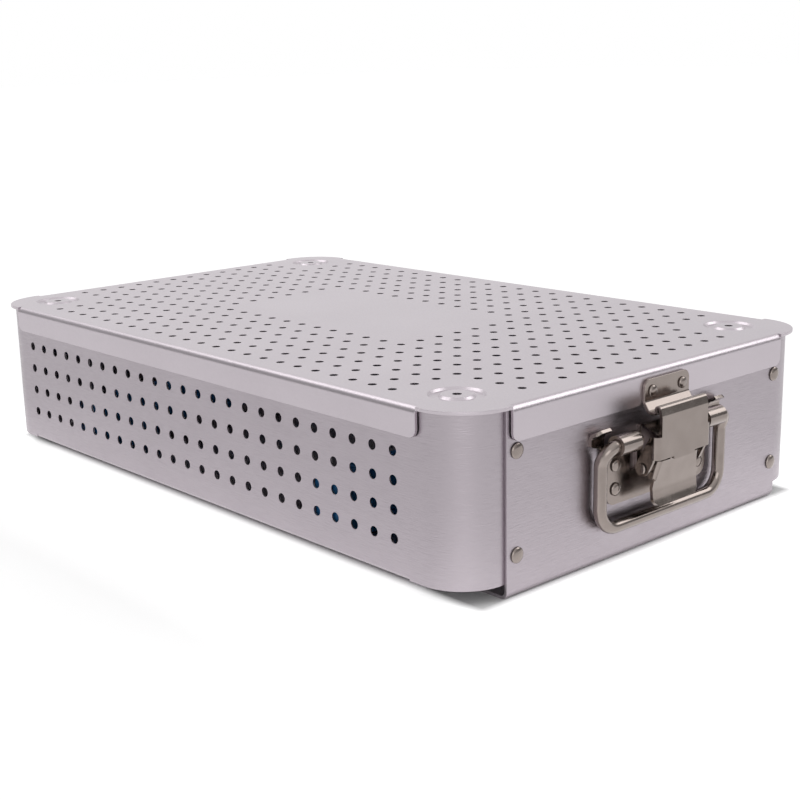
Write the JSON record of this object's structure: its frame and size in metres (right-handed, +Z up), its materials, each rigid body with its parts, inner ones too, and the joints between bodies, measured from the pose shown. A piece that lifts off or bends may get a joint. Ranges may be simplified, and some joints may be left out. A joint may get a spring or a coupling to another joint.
{
  "type": "sterilization container",
  "caption": "Flat perforated aluminium sterilization container with rounded corners, lift-off lid, draw latches and wire bail handles at both ends.",
  "frame": {"origin": "centre of the underside, on the surface that the foot rails stand on", "axes": "+X along the container towards the right latch, +Y towards the rear side wall, +Z up"},
  "size_m": [0.327, 0.1924, 0.065],
  "materials": {
    "anodised_aluminium": "satin anodised",
    "stainless_steel": "polished stainless steel",
    "silicone": "matte silicone"
  },
  "bodies": {
    "tray": {"base_sheet": "anodised_aluminium", "side_wall_front": "anodised_aluminium", "side_wall_rear": "anodised_aluminium", "bracket_rivets": "stainless_steel", "end_rivets_right": "stainless_steel", "latch_base_right": "stainless_steel", "latch_base_rivets_right": "stainless_steel", "lever_pin_right": "stainless_steel", "bar_bracket_right": "anodised_aluminium", "instrument_bar_right": "silicone", "end_rivets_left": "stainless_steel", "latch_base_left": "stainless_steel", "latch_base_rivets_left": "stainless_steel", "lever_pin_left": "stainless_steel", "bar_bracket_left": "anodised_aluminium", "instrument_bar_left": "silicone"},
    "lid": {"lid_panel": "anodised_aluminium", "catch_plate_right": "stainless_steel", "catch_rivets_right": "stainless_steel", "catch_plate_left": "stainless_steel", "catch_rivets_left": "stainless_steel"},
    "lever_right": {"latch_lever_right": "stainless_steel", "claw_pins_right": "stainless_steel"},
    "claw_right": {"claw_plate_right": "stainless_steel"},
    "bail_right": {"bail_handle_right": "stainless_steel"},
    "lever_left": {"latch_lever_left": "stainless_steel", "claw_pins_left": "stainless_steel"},
    "claw_left": {"claw_plate_left": "stainless_steel"},
    "bail_left": {"bail_handle_left": "stainless_steel"}
  },
  "joints": [
    {"name": "lid_lift", "type": "slide", "parent": "tray", "child": "lid", "axis": [0, 0, 1], "range_m": [0, 0.08]},
    {"name": "lever_right_hinge", "type": "hinge", "parent": "tray", "child": "lever_right", "pos_m": [0.1588, 0, 0.0405], "axis": [0, -1, 0], "range_deg": [0, 75]},
    {"name": "claw_right_hinge", "type": "hinge", "parent": "lever_right", "child": "claw_right", "pos_m": [0.1565, 0, 0.0325], "axis": [0, -1, 0], "range_deg": [-56.25, 0]},
    {"name": "bail_right_hinge", "type": "hinge", "parent": "tray", "child": "bail_right", "pos_m": [0.1564, 0, 0.0433], "axis": [0, -1, 0], "range_deg": [0, 90]},
    {"name": "lever_left_hinge", "type": "hinge", "parent": "tray", "child": "lever_left", "pos_m": [-0.1588, 0, 0.0405], "axis": [0, 1, 0], "range_deg": [0, 75]},
    {"name": "claw_left_hinge", "type": "hinge", "parent": "lever_left", "child": "claw_left", "pos_m": [-0.1565, 0, 0.0325], "axis": [0, 1, 0], "range_deg": [-56.25, 0]},
    {"name": "bail_left_hinge", "type": "hinge", "parent": "tray", "child": "bail_left", "pos_m": [-0.1564, 0, 0.0433], "axis": [0, 1, 0], "range_deg": [0, 90]}
  ],
  "couplings": [
    {"joint": "claw_right_hinge", "follows": "lever_right_hinge", "ratio": -0.75},
    {"joint": "claw_left_hinge", "follows": "lever_left_hinge", "ratio": -0.75}
  ]
}
